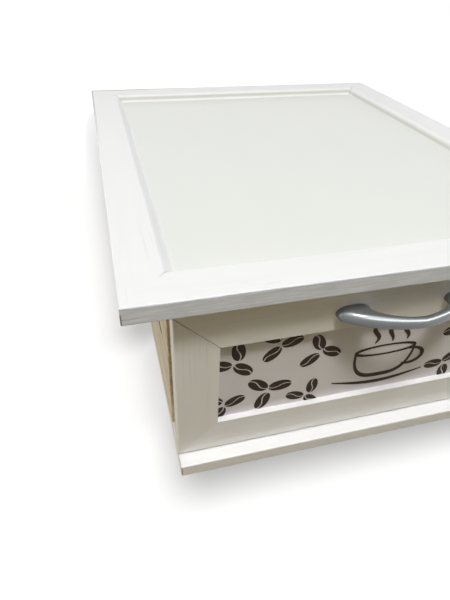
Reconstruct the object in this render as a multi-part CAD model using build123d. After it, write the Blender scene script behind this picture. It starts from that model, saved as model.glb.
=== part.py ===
from build123d import *
import math
import os

# Coffee capsule holder: a low white wooden case with a framed glass top, and one drawer
# whose front is a mitred frame round a printed panel. The drawer box has three lanes.
#
# All sizes are in millimetres. +X is to the right of someone facing the drawer, +Y points
# to the back and +Z up. The origin lies on the underside of the base board, straight below
# the centre of the lid. The drawer is drawn a little open, and everything on it follows
# front_back_y, so its place is written once.

# Lid: four mitred rails round a sheet of glass
lid_width = 260.0
lid_depth = 310.0
lid_thickness = 8.5
lid_rail_width = 20.0
lid_edge_round = 0.7
lid_bead_radius = 3.0
glass_thickness = 4.0
glass_rabbet_width = 4.0
glass_play = 0.1
glass_edge_clearance = 0.5

# Board under the glass, which ties the two sides together and carries the lid
top_board_thickness = 5.0
top_board_inset = 8.0

# Case: base, two sides of two boards each, and a back
lid_overhang = 20.0
case_clear_height = 94.7
side_thickness = 8.0
side_joint_height = 45.0
side_joint_gap = 4.0
side_joint_gap_depth = 2.0
side_joint_gap_stop = 18.0
side_joint_gap_taper = 5.0
side_edge_round = 0.6
back_thickness = 6.0
base_thickness = 8.0
base_edge_round = 0.8

# Drawer front: a mitred frame with a printed panel in its groove
front_thickness = 9.0
front_setback_closed = 20.0
front_bottom_gap = 1.2
front_top_gap = 0.7
front_member_width = 20.5
front_edge_round = 0.6
front_mitre_gap = 0.3
panel_thickness = 3.0
panel_recess = 3.3
panel_groove_depth = 5.0
panel_play = 0.2
panel_edge_clearance = 0.5

# Drawer box
drawer_pulled_out = 12.7
box_board = 6.0
box_side_clearance = 0.8
box_bottom_gap = 0.3
box_top_gap = 5.4
box_back_gap = 3.0
bottom_thickness = 3.0
bottom_groove_offset = 4.0
bottom_groove_depth = 3.0
bottom_play = 0.2
bottom_edge_clearance = 0.3
divider_count = 2
divider_thickness = 4.0
divider_height = 45.0
divider_groove_depth = 2.0
divider_play = 0.2

# Bow handle
handle_screw_spacing = 64.0
handle_end_beyond_screw = 4.5
handle_foot_inside_screw = 12.15
handle_projection = 16.6
handle_bar_thickness = 4.8
handle_bar_height = 5.6
handle_foot_height = 7.6
handle_foot_rise = 2.5
handle_outer_power = 1.5
handle_inner_power = 2.1
handle_bulge_power = 1.45
handle_corner_share = 0.42
handle_section_count = 13
handle_thread_depth = 4.4

# Fasteners
handle_screw_diameter = 4.0
handle_screw_length = 19.0
handle_screw_head_diameter = 8.0
handle_screw_head_height = 2.6
wood_screw_diameter = 3.0
wood_screw_head_diameter = 6.0
wood_screw_head_height = 1.7
top_screw_length = 22.0
base_screw_length = 28.0
case_screw_end_distance = 28.0
case_screw_count = 3
lid_screw_diameter = 2.5
lid_screw_head_diameter = 5.0
lid_screw_head_height = 1.5
lid_screw_length = 11.0
lid_screw_end_distance = 40.0
frame_screw_length = 12.5
frame_screw_spacing = 140.0
pin_diameter = 1.2
pin_clearance = 0.05
back_pin_length = 24.0
back_pin_end_distance = 18.0
box_pin_length = 20.0
box_pin_end_distance = 16.0
screw_clearance = 0.1

# Places worked out from the sizes above
half_lid_width = lid_width / 2
half_lid_depth = lid_depth / 2
case_half_width = half_lid_width - lid_overhang
lid_front_y = -half_lid_depth
case_back_y = half_lid_depth - lid_overhang
case_front_y = lid_front_y + front_setback_closed + front_thickness
base_top_z = base_thickness
top_board_z = base_top_z + case_clear_height
lid_bottom_z = top_board_z + top_board_thickness
lid_top_z = lid_bottom_z + lid_thickness
side_inner_x = case_half_width - side_thickness
back_inner_y = case_back_y - back_thickness
side_joint_z = base_top_z + side_joint_height

front_back_y = case_front_y - drawer_pulled_out
front_face_y = front_back_y - front_thickness
front_width = 2 * case_half_width
front_bottom_z = base_top_z + front_bottom_gap
front_height = case_clear_height - front_bottom_gap - front_top_gap
front_top_z = front_bottom_z + front_height
front_middle_z = (front_bottom_z + front_top_z) / 2
top_rail_z = front_top_z - front_member_width / 2
bottom_rail_z = front_bottom_z + front_member_width / 2

box_half_width = side_inner_x - box_side_clearance
box_inner_x = box_half_width - box_board
box_length = back_inner_y - case_front_y - box_back_gap
box_back_y = front_back_y + box_length
box_inner_front_y = front_back_y + box_board
box_inner_back_y = box_back_y - box_board
box_bottom_z = base_top_z + box_bottom_gap
box_top_z = top_board_z - box_top_gap
bottom_z = box_bottom_z + bottom_groove_offset
bottom_top_z = bottom_z + bottom_thickness
handle_length = handle_screw_spacing + 2 * handle_end_beyond_screw
handle_inner_span = handle_screw_spacing - 2 * handle_foot_inside_screw
lane_width = (2 * box_inner_x - divider_count * divider_thickness) / (divider_count + 1)


def block(low, high):
    """A box between its lowest and its highest corner."""
    size = [top - bottom for bottom, top in zip(low, high)]
    middle = [(top + bottom) / 2 for bottom, top in zip(low, high)]
    return Pos(*middle) * Box(*size)


def rounded_block(low, high, radius):
    """A board whose edges are all eased by the same radius."""
    board = block(low, high)
    return fillet(board.edges(), radius)


def rod(start, direction, length, diameter):
    """A round bar from a start point along a direction."""
    plane = Plane(origin=start, z_dir=direction)
    return extrude(plane * Circle(diameter / 2), length)


def spread(low, high, count):
    """Evenly spaced places from low to high, both ends included."""
    return [low + (high - low) * index / (count - 1) for index in range(count)]


def joined(pieces):
    """Several separate solids as one group."""
    return Compound(children=[Part(piece.wrapped) for piece in pieces])


def without(body, tools):
    """The body with each tool cut out of it."""
    for tool in tools:
        body = body - tool
    return body


# Fasteners: each one is a place, the direction in which it is driven and a kind
def countersunk(place, length, diameter, head_diameter, head_height):
    """A countersunk wood screw: flush conical head, shank and short point."""
    start, direction = place
    plane = Plane(origin=start, z_dir=direction)
    tip_length = diameter
    shank = extrude(plane * Circle(diameter / 2), length - tip_length)
    cone = plane * Pos(0, 0, head_height / 2) * Cone(head_diameter / 2, diameter / 2, head_height)
    tip_middle = length - tip_length / 2
    tip = plane * Pos(0, 0, tip_middle) * Cone(diameter / 2, diameter / 8, tip_length)
    return shank + cone + tip


def countersunk_hole(place, length, diameter, head_diameter, head_height):
    """The hole that the same screw needs, all round its head and shank."""
    start, direction = place
    plane = Plane(origin=start, z_dir=direction)
    shank = extrude(plane * Circle(diameter / 2 + screw_clearance), length + screw_clearance)
    wide = head_diameter / 2 + screw_clearance
    narrow = diameter / 2 + screw_clearance
    cone = plane * Pos(0, 0, head_height / 2) * Cone(wide, narrow, head_height)
    return shank + cone


def pan_screw(place, length, diameter, head_diameter, head_height):
    """A pan-head screw whose head stands on the surface that it starts from."""
    start, direction = place
    plane = Plane(origin=start, z_dir=direction)
    shank = extrude(plane * Circle(diameter / 2), length)
    head = extrude(plane * Circle(head_diameter / 2), -head_height)
    outer_face = head.faces().sort_by(Axis(start, direction))[0]
    head = fillet(outer_face.edges(), head_height / 2)
    slot_width = head_diameter / 7
    slot_depth = head_height / 2
    slot = plane * Pos(0, 0, -head_height + slot_depth / 2) * Box(
        head_diameter, slot_width, slot_depth)
    return shank + (head - slot)


def pin(place, length):
    """A headless panel pin."""
    start, direction = place
    return rod(start, direction, length, pin_diameter)


def pin_hole(place, length):
    """The hole round a panel pin."""
    start, direction = place
    return rod(start, direction, length, pin_diameter + 2 * pin_clearance)


side_screw_x = case_half_width - side_thickness / 2
side_screw_ys = spread(case_front_y + case_screw_end_distance,
                       case_back_y - case_screw_end_distance, case_screw_count)
top_screw_places = [((side * side_screw_x, y, lid_bottom_z), (0, 0, -1))
                    for side in (-1, 1) for y in side_screw_ys]
base_screw_places = [((side * side_screw_x, y, 0), (0, 0, 1))
                     for side in (-1, 1) for y in side_screw_ys]

margin_middle = (top_board_inset + lid_rail_width - glass_rabbet_width) / 2
lid_screw_x = half_lid_width - margin_middle
lid_screw_y = half_lid_depth - margin_middle
lid_screw_places = [((side * lid_screw_x, y, top_board_z), (0, 0, 1))
                    for side in (-1, 1)
                    for y in spread(-half_lid_depth + lid_screw_end_distance,
                                    half_lid_depth - lid_screw_end_distance, 3)]
lid_screw_places += [((x, side * lid_screw_y, top_board_z), (0, 0, 1))
                     for side in (-1, 1)
                     for x in spread(-half_lid_width + lid_screw_end_distance,
                                     half_lid_width - lid_screw_end_distance, 2)]

back_middle_y = (back_inner_y + case_back_y) / 2
back_pin_zs = (base_top_z + back_pin_end_distance, top_board_z - back_pin_end_distance)
back_pin_places = [((side * case_half_width, back_middle_y, z), (-side, 0, 0))
                   for side in (-1, 1) for z in back_pin_zs]

box_front_middle_y = front_back_y + box_board / 2
box_back_middle_y = box_back_y - box_board / 2
box_pin_zs = (bottom_top_z + box_pin_end_distance, box_top_z - box_pin_end_distance)
box_pin_places = [((side * box_half_width, y, z), (-side, 0, 0))
                  for side in (-1, 1)
                  for y in (box_front_middle_y, box_back_middle_y)
                  for z in box_pin_zs]

frame_screw_places = [((side * frame_screw_spacing / 2, box_inner_front_y, z), (0, -1, 0))
                      for side in (-1, 1) for z in (bottom_rail_z, top_rail_z)]
handle_screw_places = [((side * handle_screw_spacing / 2, box_inner_front_y, top_rail_z),
                        (0, -1, 0)) for side in (-1, 1)]

top_screw_sizes = (top_screw_length, wood_screw_diameter, wood_screw_head_diameter,
                   wood_screw_head_height)
base_screw_sizes = (base_screw_length, wood_screw_diameter, wood_screw_head_diameter,
                    wood_screw_head_height)
lid_screw_sizes = (lid_screw_length, lid_screw_diameter, lid_screw_head_diameter,
                   lid_screw_head_height)

top_screw_holes = [countersunk_hole(place, *top_screw_sizes) for place in top_screw_places]
base_screw_holes = [countersunk_hole(place, *base_screw_sizes) for place in base_screw_places]
lid_screw_holes = [countersunk_hole(place, *lid_screw_sizes) for place in lid_screw_places]
back_pin_holes = [pin_hole(place, back_pin_length) for place in back_pin_places]
box_pin_holes = [pin_hole(place, box_pin_length) for place in box_pin_places]
frame_screw_holes = [rod(start, direction, frame_screw_length + screw_clearance,
                         wood_screw_diameter + 2 * screw_clearance)
                     for start, direction in frame_screw_places]
handle_screw_holes = [rod(start, direction, box_board + front_thickness,
                          handle_screw_diameter + 2 * screw_clearance)
                      for start, direction in handle_screw_places]


# Mitred frames: a rail's section is drawn inwards from its outer edge and up from its back
def rail_section(width, thickness, edge_round, inner_steps):
    """A face from the outer edge to the inner one, whose inner side follows inner_steps."""
    edges = [
        Line((edge_round, 0), inner_steps[0].position_at(0)),
        *inner_steps,
        Line(inner_steps[-1].position_at(1), (edge_round, thickness)),
        RadiusArc((edge_round, thickness), (0, thickness - edge_round), -edge_round),
        Line((0, thickness - edge_round), (0, edge_round)),
        RadiusArc((0, edge_round), (edge_round, 0), -edge_round),
    ]
    return make_face(edges)


def mitred_rail(section, length, width, thickness, left_relief, right_relief):
    """A rail along X with its outer edge on Y = 0, cut at 45 degrees at both ends."""
    section_plane = Plane(origin=(-length / 2, 0, 0), x_dir=(0, 1, 0), z_dir=(1, 0, 0))
    bar = extrude(section_plane * section, length)
    plan = make_face(Polyline(
        (-length / 2 + left_relief, 0),
        (length / 2 - right_relief, 0),
        (length / 2 - right_relief - width, width),
        (-length / 2 + left_relief + width, width),
        close=True))
    return bar & extrude(plan, thickness)


def rail_frame(section, outer_width, outer_height, width, thickness, reliefs):
    """Four mitred rails round a rectangle: bottom, right, top and left.

    reliefs gives what each corner is cut back by: bottom left, bottom right, top right,
    top left."""
    lengths = (outer_width, outer_height, outer_width, outer_height)
    offsets = (outer_height, outer_width, outer_height, outer_width)
    rails = []
    for turn in range(4):
        rail = mitred_rail(section, lengths[turn], width, thickness,
                           reliefs[turn], reliefs[(turn + 1) % 4])
        rails.append(Rot(0, 0, 90 * turn) * Pos(0, -offsets[turn] / 2, 0) * rail)
    return rails


# Lid
def lid_rails():
    """Front, right, back and left rails, with a bead inside and a rabbet for the glass."""
    pocket = glass_thickness + glass_play
    rabbet_u = lid_rail_width - glass_rabbet_width
    bead_start = lid_thickness - lid_bead_radius
    inner = [
        Line((rabbet_u, 0), (rabbet_u, pocket)),
        Line((rabbet_u, pocket), (lid_rail_width, pocket)),
        Line((lid_rail_width, pocket), (lid_rail_width, bead_start)),
        RadiusArc((lid_rail_width, bead_start),
                  (lid_rail_width - lid_bead_radius, lid_thickness), -lid_bead_radius),
    ]
    section = rail_section(lid_rail_width, lid_thickness, lid_edge_round, inner)
    rails = rail_frame(section, lid_width, lid_depth, lid_rail_width, lid_thickness,
                       (0, 0, 0, 0))
    return [without(Pos(0, 0, lid_bottom_z) * rail, lid_screw_holes) for rail in rails]


def lid_glass():
    """The sheet that fills the lid frame, under the rails' lips."""
    reach = lid_rail_width - glass_rabbet_width + glass_edge_clearance
    half_x = half_lid_width - reach
    half_y = half_lid_depth - reach
    return block((-half_x, -half_y, lid_bottom_z), (half_x, half_y, lid_bottom_z + glass_thickness))


def top_board():
    """The board that carries the lid and closes the case."""
    half_x = half_lid_width - top_board_inset
    half_y = half_lid_depth - top_board_inset
    board = block((-half_x, -half_y, top_board_z), (half_x, half_y, lid_bottom_z))
    return without(board, top_screw_holes + lid_screw_holes)


# Case
def base_board():
    """The base, whose front edge is flush with the lid's."""
    board = rounded_block((-case_half_width, lid_front_y, 0),
                          (case_half_width, case_back_y, base_thickness), base_edge_round)
    return without(board, base_screw_holes)


def joint_gap(side):
    """The open part of the joint between a side's two boards, seen from outside."""
    stop_y = case_front_y + side_joint_gap_stop
    outline = make_face(Polyline(
        (stop_y, side_joint_z),
        (case_back_y + side_edge_round, side_joint_z),
        (case_back_y + side_edge_round, side_joint_z + side_joint_gap),
        (stop_y + side_joint_gap_taper, side_joint_z + side_joint_gap),
        close=True))
    outer_x = side * case_half_width
    plane = Plane(origin=(outer_x, 0, 0), x_dir=(0, 1, 0), z_dir=(1, 0, 0))
    return extrude(plane * outline, -side * side_joint_gap_depth)


def side_board(side, low_z, high_z):
    """One board of a side, with its outer corners eased at the front and back."""
    low_x = min(side * side_inner_x, side * case_half_width)
    high_x = max(side * side_inner_x, side * case_half_width)
    board = block((low_x, case_front_y, low_z), (high_x, case_back_y, high_z))
    uprights = board.edges().filter_by(Axis.Z).group_by(Axis.X)
    outer = uprights[-1] if side > 0 else uprights[0]
    board = fillet(outer, side_edge_round)
    return without(board, [joint_gap(side)] + top_screw_holes + base_screw_holes
                   + back_pin_holes)


def back_board():
    """The back, which stands between the sides."""
    board = block((-side_inner_x, back_inner_y, base_top_z),
                  (side_inner_x, case_back_y, top_board_z))
    return without(board, back_pin_holes)


# Drawer front
def front_rails():
    """Bottom rail, right stile, top rail and left stile, grooved for the panel."""
    groove_front = front_thickness - panel_recess
    groove_back = groove_front - panel_thickness - panel_play
    groove_u = front_member_width - panel_groove_depth
    inner = [
        Line((front_member_width, 0), (front_member_width, groove_back)),
        Line((front_member_width, groove_back), (groove_u, groove_back)),
        Line((groove_u, groove_back), (groove_u, groove_front)),
        Line((groove_u, groove_front), (front_member_width, groove_front)),
        Line((front_member_width, groove_front), (front_member_width, front_thickness)),
    ]
    section = rail_section(front_member_width, front_thickness, front_edge_round, inner)
    rails = rail_frame(section, front_width, front_height, front_member_width,
                       front_thickness, (0, 0, front_mitre_gap, front_mitre_gap))
    plane = Plane(origin=(0, front_back_y, front_middle_z), x_dir=(1, 0, 0), z_dir=(0, -1, 0))
    return [without(plane.location * rail, frame_screw_holes + handle_screw_holes)
            for rail in rails]


def print_panel():
    """The printed board in the frame's groove."""
    reach = front_member_width - panel_groove_depth + panel_edge_clearance
    half_x = front_width / 2 - reach
    half_z = front_height / 2 - reach
    face_y = front_face_y + panel_recess
    return block((-half_x, face_y, front_middle_z - half_z),
                 (half_x, face_y + panel_thickness, front_middle_z + half_z))


# Drawer box
def bottom_groove():
    """The groove round the inside of the box, as one solid plate."""
    reach = bottom_groove_depth
    return block((-box_inner_x - reach, box_inner_front_y - reach, bottom_z),
                 (box_inner_x + reach, box_inner_back_y + reach,
                  bottom_top_z + bottom_play))


def drawer_bottom():
    """The bottom, held in the groove on all four sides."""
    reach = bottom_groove_depth - bottom_edge_clearance
    return block((-box_inner_x - reach, box_inner_front_y - reach, bottom_z),
                 (box_inner_x + reach, box_inner_back_y + reach, bottom_top_z))


def divider_x(index):
    """The middle of a divider, so that all lanes are equally wide."""
    return -box_inner_x + (index + 1) * lane_width + (index + 0.5) * divider_thickness


def divider_grooves():
    """Upright grooves in the box's front and back, open at the top."""
    grooves = []
    for index in range(divider_count):
        half = divider_thickness / 2 + divider_play / 2
        x = divider_x(index)
        grooves.append(block((x - half, box_inner_front_y - divider_groove_depth, bottom_top_z),
                             (x + half, box_inner_back_y + divider_groove_depth,
                              box_top_z + divider_play)))
    return grooves


def divider(index):
    """A thin board that stands on the drawer bottom between two lanes."""
    half = divider_thickness / 2
    x = divider_x(index)
    reach = divider_groove_depth - divider_play
    return block((x - half, box_inner_front_y - reach, bottom_top_z),
                 (x + half, box_inner_back_y + reach, bottom_top_z + divider_height))


def drawer_side(side):
    """A long board of the box, grooved for the bottom and pinned to the ends."""
    low_x = min(side * box_inner_x, side * box_half_width)
    high_x = max(side * box_inner_x, side * box_half_width)
    board = block((low_x, front_back_y, box_bottom_z), (high_x, box_back_y, box_top_z))
    return without(board, [bottom_groove()] + box_pin_holes)


def drawer_end(low_y, high_y):
    """A cross board between the two long ones."""
    board = block((-box_inner_x, low_y, box_bottom_z), (box_inner_x, high_y, box_top_z))
    return without(board, [bottom_groove()] + divider_grooves() + box_pin_holes
                   + frame_screw_holes + handle_screw_holes)


# Handle
def handle_section(angle):
    """The bar's section where its middle line has turned by angle, from foot to foot.

    The outer and the inner line are the same kind of flattened bow, and a section joins
    the points of equal angle on the two."""
    turn = math.radians(angle)
    side = -math.cos(turn)
    reach = abs(side)
    bulge = abs(math.sin(turn)) ** handle_bulge_power
    sign = 1 if side > 0 else -1
    outer_x = sign * handle_length / 2 * reach ** (2 / handle_outer_power)
    inner_x = sign * handle_inner_span / 2 * reach ** (2 / handle_inner_power)
    outer_y = handle_foot_rise + (handle_projection - handle_foot_rise) * bulge
    inner_y = handle_foot_rise * (1 - bulge) + (handle_projection - handle_bar_thickness) * bulge
    thickness = math.hypot(outer_x - inner_x, outer_y - inner_y)
    height = handle_bar_height + (handle_foot_height - handle_bar_height) * reach ** 2
    across = ((outer_x - inner_x) / thickness, -(outer_y - inner_y) / thickness, 0)
    middle = ((outer_x + inner_x) / 2, front_face_y - (outer_y + inner_y) / 2, top_rail_z)
    plane = Plane(origin=middle, x_dir=across, z_dir=Vector(*across).cross(Vector(0, 0, 1)))
    corner = handle_corner_share * min(thickness, height)
    return plane * RectangleRounded(thickness, height, corner)


def handle():
    """A bow handle with two wide feet, tapped from behind."""
    sections = [handle_section(angle) for angle in spread(0, 180, handle_section_count)]
    bar = loft([section.face() for section in sections])
    foot_width = (handle_length - handle_inner_span) / 2
    corner = handle_corner_share * min(foot_width, handle_foot_height)
    for side in (-1, 1):
        x = side * (handle_length - foot_width) / 2
        plane = Plane(origin=(x, front_face_y, top_rail_z), x_dir=(1, 0, 0), z_dir=(0, -1, 0))
        bar = bar + extrude(plane * RectangleRounded(foot_width, handle_foot_height, corner),
                            handle_foot_rise)
    holes = [rod((side * handle_screw_spacing / 2, front_face_y, top_rail_z), (0, -1, 0),
                 handle_thread_depth, handle_screw_diameter + 2 * screw_clearance)
             for side in (-1, 1)]
    return without(bar, holes)


front_rail, right_rail, back_rail, left_rail = lid_rails()
frame_bottom, frame_right, frame_top, frame_left = front_rails()

parts = {
    "lid_rail_front": front_rail,
    "lid_rail_back": back_rail,
    "lid_rail_left": left_rail,
    "lid_rail_right": right_rail,
    "lid_glass": lid_glass(),
    "lid_screws": joined([countersunk(place, *lid_screw_sizes) for place in lid_screw_places]),
    "top_board": top_board(),
    "top_board_screws": joined([countersunk(place, *top_screw_sizes)
                                for place in top_screw_places]),
    "base_board": base_board(),
    "base_screws": joined([countersunk(place, *base_screw_sizes)
                           for place in base_screw_places]),
    "side_left_lower": side_board(-1, base_top_z, side_joint_z),
    "side_left_upper": side_board(-1, side_joint_z, top_board_z),
    "side_right_lower": side_board(1, base_top_z, side_joint_z),
    "side_right_upper": side_board(1, side_joint_z, top_board_z),
    "back_board": back_board(),
    "back_board_pins": joined([pin(place, back_pin_length) for place in back_pin_places]),
    "front_frame_top": frame_top,
    "front_frame_bottom": frame_bottom,
    "front_frame_left": frame_left,
    "front_frame_right": frame_right,
    "print_panel": print_panel(),
    "front_frame_screws": joined([pan_screw(place, frame_screw_length, wood_screw_diameter,
                                            wood_screw_head_diameter, wood_screw_head_height)
                                  for place in frame_screw_places]),
    "drawer_side_left": drawer_side(-1),
    "drawer_side_right": drawer_side(1),
    "drawer_box_front": drawer_end(front_back_y, box_inner_front_y),
    "drawer_box_back": drawer_end(box_inner_back_y, box_back_y),
    "drawer_bottom": drawer_bottom(),
    "drawer_box_pins": joined([pin(place, box_pin_length) for place in box_pin_places]),
    "handle": handle(),
    "handle_screws": joined([pan_screw(place, handle_screw_length, handle_screw_diameter,
                                       handle_screw_head_diameter, handle_screw_head_height)
                             for place in handle_screw_places]),
}
for index in range(divider_count):
    parts[f"drawer_divider_{index + 1}"] = divider(index)

os.makedirs("parts", exist_ok=True)
for name, shape in parts.items():
    export_step(shape, f"parts/{name}.step")
    print(f"{name}: {shape.volume / 1000:.2f} cm3")
print(f"Lane width {lane_width:.1f} mm, drawer box length {box_length:.1f} mm")
print(f"Height {lid_top_z:.1f} mm")
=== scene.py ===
# %% [markdown]
# # A coffee capsule holder
#
# The holder is a low box of white-painted wood. A drawer with a printed front slides out
# below a framed sheet of glass. The construction is a packed CAD model, so this lesson only
# dresses it: it gives every board a finish, replaces the handle by a finer surface, prints
# the drawer front, and lights it for one picture.
#
# We start with the frame. Lengths are in metres, or in millimetres times MM, and the axes are
# the CAD's: +X to the right of someone facing the drawer, +Y to the back and +Z up.

# %% Load the packed model
import math

import bmesh
import bpy
import numpy as np
from mathutils import Matrix, Vector


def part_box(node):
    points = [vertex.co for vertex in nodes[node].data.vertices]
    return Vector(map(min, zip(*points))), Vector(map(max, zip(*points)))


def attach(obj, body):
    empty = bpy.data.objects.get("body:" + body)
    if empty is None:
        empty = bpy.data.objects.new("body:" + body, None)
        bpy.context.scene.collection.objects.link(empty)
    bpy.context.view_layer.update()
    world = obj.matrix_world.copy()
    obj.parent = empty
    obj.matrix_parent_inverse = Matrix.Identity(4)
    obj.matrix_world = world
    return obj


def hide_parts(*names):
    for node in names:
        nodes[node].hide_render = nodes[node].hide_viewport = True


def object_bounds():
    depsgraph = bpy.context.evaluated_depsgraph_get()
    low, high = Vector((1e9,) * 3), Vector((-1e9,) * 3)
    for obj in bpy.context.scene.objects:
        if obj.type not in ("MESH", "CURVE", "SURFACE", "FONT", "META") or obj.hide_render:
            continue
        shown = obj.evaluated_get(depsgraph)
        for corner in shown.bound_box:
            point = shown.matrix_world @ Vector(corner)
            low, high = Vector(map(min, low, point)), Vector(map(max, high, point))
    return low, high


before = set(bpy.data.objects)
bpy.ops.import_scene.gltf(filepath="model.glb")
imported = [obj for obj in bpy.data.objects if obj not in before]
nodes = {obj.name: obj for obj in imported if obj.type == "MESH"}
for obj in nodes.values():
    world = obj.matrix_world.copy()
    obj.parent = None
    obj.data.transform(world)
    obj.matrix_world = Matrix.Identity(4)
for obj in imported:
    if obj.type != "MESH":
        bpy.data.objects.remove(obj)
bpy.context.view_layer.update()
MM = 0.001

# %% [markdown]
# ## The camera
#
# The camera stands where the photographer's phone stood. Its place came from the straight
# edges of the box: the lid's rails, the drawer front and the base all converge, and one
# camera explains them all. A camera can be aimed with a constraint, but a matrix of its
# three axes says the same with no dependency, and it takes the small roll of a hand-held
# picture too.

# %% Camera
camera_place = Vector((-128.48, -287.56, 220.96)) * MM
view_azimuth = math.radians(16.05)
view_pitch = math.radians(-37.84)
view_roll = math.radians(2.29)
lens_mm = 27.51
nearest_seen = 10.0 * MM


def camera_matrix(place, azimuth, pitch, roll):
    """The camera's axes: its view turned by azimuth from +Y, tipped by pitch, then rolled."""
    forward = Vector((math.sin(azimuth) * math.cos(pitch),
                      math.cos(azimuth) * math.cos(pitch),
                      math.sin(pitch)))
    level_right = forward.cross(Vector((0, 0, 1))).normalized()
    level_up = level_right.cross(forward)
    right = level_right * math.cos(roll) + level_up * math.sin(roll)
    up = level_up * math.cos(roll) - level_right * math.sin(roll)
    aimed = Matrix((right, up, -forward)).transposed().to_4x4()
    return Matrix.Translation(place) @ aimed


camera_data = bpy.data.cameras.new("photo_camera")
camera_data.lens = lens_mm
camera_data.clip_start = nearest_seen
camera = bpy.data.objects.new("photo_camera", camera_data)
bpy.context.scene.collection.objects.link(camera)
camera.matrix_world = camera_matrix(camera_place, view_azimuth, view_pitch, view_roll)
bpy.context.scene.camera = camera
bpy.context.scene.view_settings.view_transform = "Standard"
print("camera", tuple(round(value, 4) for value in camera.location))

# %% [markdown]
# ## Shader maths as plain expressions
#
# A procedural material is a formula, and a tree of Math nodes hides it. Writing each node
# by hand would be as long as the materials themselves. The class below wraps one socket
# instead, so that `1 - mask * 0.5` adds the two nodes that it needs.

# %% A socket that does arithmetic
class Signal:
    """A number that comes out of a shader node and takes part in ordinary arithmetic."""

    def __init__(self, finish, socket):
        self.finish = finish
        self.socket = socket

    def combine(self, operation, first, second):
        """The result of one Math node."""
        return self.finish.node("ShaderNodeMath", {"operation": operation},
                                {0: first, 1: second})

    def __add__(self, other):
        return self.combine("ADD", self, other)

    def __radd__(self, other):
        return self.combine("ADD", other, self)

    def __sub__(self, other):
        return self.combine("SUBTRACT", self, other)

    def __rsub__(self, other):
        return self.combine("SUBTRACT", other, self)

    def __mul__(self, other):
        return self.combine("MULTIPLY", self, other)

    def __rmul__(self, other):
        return self.combine("MULTIPLY", other, self)

    def __gt__(self, other):
        return self.combine("GREATER_THAN", self, other)

    def __lt__(self, other):
        return self.combine("LESS_THAN", self, other)

    def least(self, other):
        """The smaller of two numbers."""
        return self.combine("MINIMUM", self, other)

    def most(self, other):
        """The larger of two numbers."""
        return self.combine("MAXIMUM", self, other)

    def size(self):
        """The number without its sign."""
        return self.combine("ABSOLUTE", self, 0.0)

    def step(self, low, high):
        """A smooth rise from 0 at low to 1 at high."""
        return self.finish.node("ShaderNodeMapRange", {"interpolation_type": "SMOOTHSTEP"},
                                {"Value": self, "From Min": low, "From Max": high})


print("arithmetic:", [name for name in vars(Signal) if name.startswith("__r")])

# %% [markdown]
# Everything that isn't arithmetic, such as a noise, a mix or a bump, comes from one method
# that takes the node's type, its settings and its inputs. Short methods name the uses that
# come back in every finish: the point on the object, its coordinates as numbers, a noise
# that may be stretched along the grain, and a colour between two others.

# %% A material under construction
def opaque(colour):
    """A colour with full alpha, or a Signal as it is."""
    return colour if isinstance(colour, Signal) else (*colour, 1.0)


class Finish:
    """One material under construction."""

    def __init__(self, name):
        self.material = bpy.data.materials.new(name)
        self.material.use_nodes = True
        self.tree = self.material.node_tree
        self.tree.nodes.clear()

    def node(self, kind, settings=None, inputs=None, output=0):
        """Adds a node, sets it up, feeds its sockets and gives one output as a Signal."""
        node = self.tree.nodes.new(kind)
        for name, value in (settings or {}).items():
            setattr(node, name, value)
        for name, value in (inputs or {}).items():
            if isinstance(value, Signal):
                self.tree.links.new(value.socket, node.inputs[name])
            else:
                node.inputs[name].default_value = value
        return Signal(self, node.outputs[output])

    def place(self):
        """The point on the object, in metres."""
        return self.node("ShaderNodeTexCoord", output="Object")

    def parts(self, vector):
        """The three coordinates of a vector as numbers."""
        split = self.node("ShaderNodeSeparateXYZ", {}, {0: vector})
        outputs = split.socket.node.outputs
        return [Signal(self, outputs[name]) for name in ("X", "Y", "Z")]

    def axes(self):
        """The point's three coordinates as numbers."""
        return self.parts(self.place())

    def noise(self, scale, detail=2.0, roughness=0.5):
        """Fractal noise from 0 to 1, with one scale or with another along each axis."""
        where = self.place()
        if isinstance(scale, tuple):
            where = self.node("ShaderNodeMapping", {}, {"Vector": where, "Scale": scale})
            scale = 1.0
        return self.node("ShaderNodeTexNoise", {},
                         {"Vector": where, "Scale": scale, "Detail": detail,
                          "Roughness": roughness})

    def mix(self, share, first, second):
        """A colour between two others: sockets 6 and 7 of the node, mixed into output 2."""
        return self.node("ShaderNodeMix", {"data_type": "RGBA"},
                         {"Factor": share, 6: opaque(first), 7: opaque(second)}, 2)

    def bump(self, height, distance):
        """A normal that follows a height in units of distance."""
        return self.node("ShaderNodeBump", {}, {"Height": height, "Distance": distance})

    def surface(self, inputs):
        """Ends the material in a Principled shader."""
        self.output(self.node("ShaderNodeBsdfPrincipled", {}, inputs))
        return self.material

    def output(self, shader):
        """Connects a shader to the material's output."""
        node_out = self.tree.nodes.new("ShaderNodeOutputMaterial")
        self.tree.links.new(shader.socket, node_out.inputs["Surface"])


def dress(material, *names):
    """Gives CAD nodes one material."""
    for name in names:
        mesh = nodes[name].data
        mesh.materials.clear()
        mesh.materials.append(material)
    print(material.name, "on", ", ".join(names))


print("material methods:", [name for name in vars(Finish) if not name.startswith("_")])
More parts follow.
